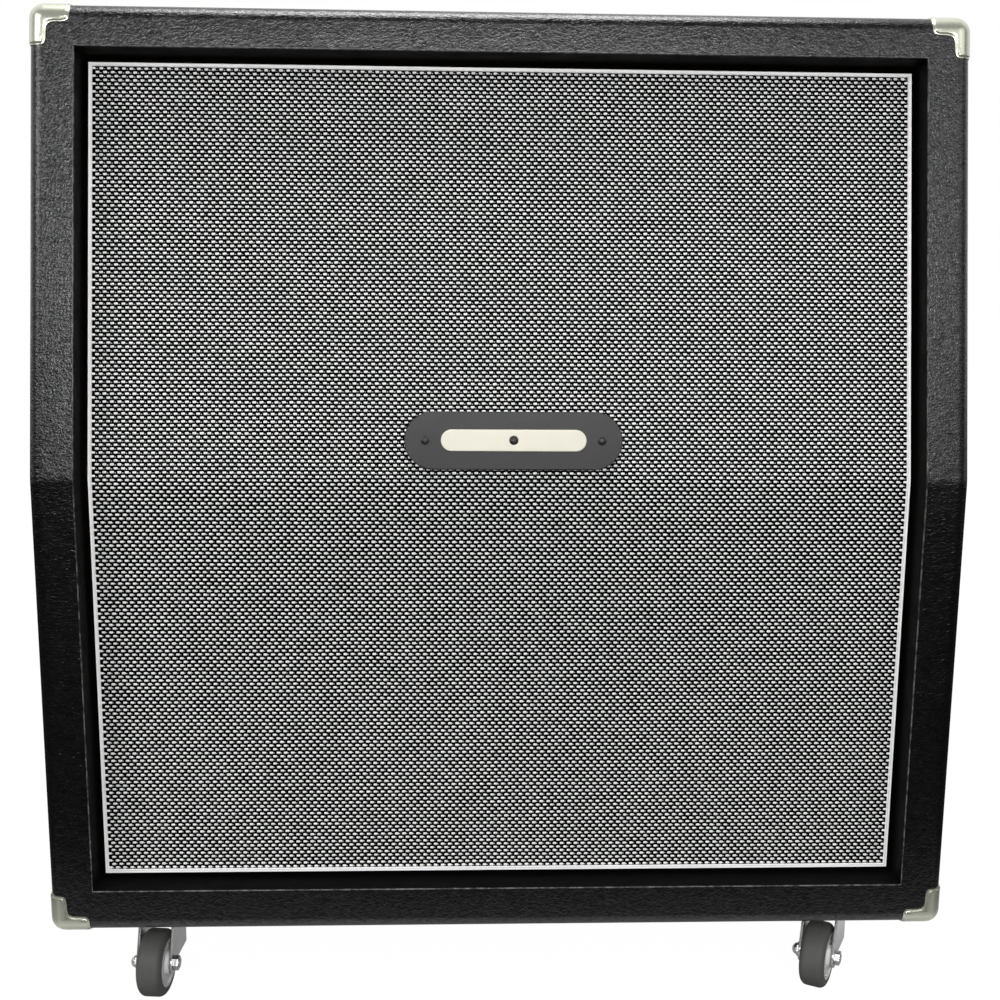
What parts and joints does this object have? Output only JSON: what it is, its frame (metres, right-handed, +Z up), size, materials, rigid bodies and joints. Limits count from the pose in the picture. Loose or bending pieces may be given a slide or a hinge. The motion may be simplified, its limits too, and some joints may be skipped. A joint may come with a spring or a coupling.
{
  "type": "guitar speaker cabinet",
  "caption": "Slant-front guitar speaker cabinet in black grained vinyl with a woven grille, white piping, plated corner caps, side cup handles and swivel casters.",
  "frame": {"origin": "on the floor under the middle of the cabinet", "axes": "+X to the cabinet's right as seen from the front, +Y to its back, +Z up"},
  "size_m": [0.7728, 0.3586, 0.8463],
  "materials": {
    "vinyl": "grained black vinyl",
    "plywood": "raw plywood",
    "grille_weave": "black and white plain weave",
    "white_piping": "white cord",
    "badge_grey": "satin dark grey",
    "badge_ivory": "satin ivory",
    "black_screw": "black oxide",
    "plated_steel": "bright plated",
    "zinc_steel": "zinc plated",
    "handle_black": "moulded black",
    "plate_black": "black powder coat",
    "socket_black": "moulded black",
    "basket_black": "black paint",
    "magnet_iron": "ferrite and steel",
    "cone_paper": "pressed paper",
    "surround_cloth": "doped edge and gasket",
    "lead_rubber": "two-core lead",
    "wheel_grey": "light grey moulded",
    "tyre_rubber": "dark grey rubber"
  },
  "bodies": {
    "cabinet": {"vinyl_covering": "vinyl", "back_panel_covering": "vinyl", "left_side_panel": "plywood", "right_side_panel": "plywood", "top_panel": "plywood", "bottom_panel": "plywood", "back_panel": "plywood", "left_front_stile": "plywood", "right_front_stile": "plywood", "top_front_rail": "plywood", "bottom_front_rail": "plywood", "baffle_cleats": "plywood", "lower_baffle": "plywood", "upper_baffle": "plywood", "bend_batten": "plywood", "centre_brace": "plywood", "rear_battens": "plywood", "grille_cloth": "grille_weave", "grille_piping": "white_piping", "badge_plate": "badge_grey", "badge_bar": "badge_ivory", "badge_screws": "black_screw", "handle_screws": "black_screw", "back_panel_screws": "black_screw", "jack_plate_screws": "black_screw", "front_corner_caps": "plated_steel", "rear_corner_caps": "plated_steel", "baffle_screws": "zinc_steel", "speaker_bolts": "zinc_steel", "caster_plates": "zinc_steel", "caster_screws": "zinc_steel", "left_handle": "handle_black", "right_handle": "handle_black", "jack_plate": "plate_black", "input_sockets": "socket_black", "speaker_baskets": "basket_black", "speaker_magnets": "magnet_iron", "speaker_surrounds": "surround_cloth", "speaker_leads": "lead_rubber"},
    "front_left_swivel": {"front_left_fork": "zinc_steel", "front_left_axle_bolt": "zinc_steel"},
    "front_left_wheel": {"front_left_wheel_core": "wheel_grey", "front_left_tyre": "tyre_rubber"},
    "front_right_swivel": {"front_right_fork": "zinc_steel", "front_right_axle_bolt": "zinc_steel"},
    "front_right_wheel": {"front_right_wheel_core": "wheel_grey", "front_right_tyre": "tyre_rubber"},
    "rear_left_swivel": {"rear_left_fork": "zinc_steel", "rear_left_axle_bolt": "zinc_steel"},
    "rear_left_wheel": {"rear_left_wheel_core": "wheel_grey", "rear_left_tyre": "tyre_rubber"},
    "rear_right_swivel": {"rear_right_fork": "zinc_steel", "rear_right_axle_bolt": "zinc_steel"},
    "rear_right_wheel": {"rear_right_wheel_core": "wheel_grey", "rear_right_tyre": "tyre_rubber"},
    "lower_left_cone_body": {"lower_left_cone": "cone_paper"},
    "lower_right_cone_body": {"lower_right_cone": "cone_paper"},
    "upper_left_cone_body": {"upper_left_cone": "cone_paper"},
    "upper_right_cone_body": {"upper_right_cone": "cone_paper"}
  },
  "joints": [
    {"name": "front_left_swivel_turn", "type": "hinge", "parent": "cabinet", "child": "front_left_swivel", "pos_m": [-0.302, -0.106, 0.073], "axis": [0, 0, 1], "continuous": true},
    {"name": "front_left_wheel_spin", "type": "hinge", "parent": "front_left_swivel", "child": "front_left_wheel", "pos_m": [-0.30434, -0.12989, 0.029], "axis": [0.9952, -0.0976, 0], "continuous": true},
    {"name": "front_right_swivel_turn", "type": "hinge", "parent": "cabinet", "child": "front_right_swivel", "pos_m": [0.302, -0.106, 0.073], "axis": [0, 0, 1], "continuous": true},
    {"name": "front_right_wheel_spin", "type": "hinge", "parent": "front_right_swivel", "child": "front_right_wheel", "pos_m": [0.29047, -0.12705, 0.029], "axis": [0.8771, -0.4802, 0], "continuous": true},
    {"name": "rear_left_swivel_turn", "type": "hinge", "parent": "cabinet", "child": "rear_left_swivel", "pos_m": [-0.302, 0.106, 0.073], "axis": [0, 0, 1], "continuous": true},
    {"name": "rear_left_wheel_spin", "type": "hinge", "parent": "rear_left_swivel", "child": "rear_left_wheel", "pos_m": [-0.31021, 0.12855, 0.029], "axis": [-0.9397, -0.342, 0], "continuous": true},
    {"name": "rear_right_swivel_turn", "type": "hinge", "parent": "cabinet", "child": "rear_right_swivel", "pos_m": [0.302, 0.106, 0.073], "axis": [0, 0, 1], "continuous": true},
    {"name": "rear_right_wheel_spin", "type": "hinge", "parent": "rear_right_swivel", "child": "rear_right_wheel", "pos_m": [0.31021, 0.12855, 0.029], "axis": [-0.9397, 0.342, 0], "continuous": true},
    {"name": "lower_left_cone_slide", "type": "slide", "parent": "cabinet", "child": "lower_left_cone_body", "axis": [0, -1, 0], "range_m": [-0.003, 0.003], "stiffness_N_per_m": 7800},
    {"name": "lower_right_cone_slide", "type": "slide", "parent": "cabinet", "child": "lower_right_cone_body", "axis": [0, -1, 0], "range_m": [-0.003, 0.003], "stiffness_N_per_m": 7800},
    {"name": "upper_left_cone_slide", "type": "slide", "parent": "cabinet", "child": "upper_left_cone_body", "axis": [0, -0.9848, 0.1738], "range_m": [-0.003, 0.003], "stiffness_N_per_m": 7800},
    {"name": "upper_right_cone_slide", "type": "slide", "parent": "cabinet", "child": "upper_right_cone_body", "axis": [0, -0.9848, 0.1738], "range_m": [-0.003, 0.003], "stiffness_N_per_m": 7800}
  ]
}
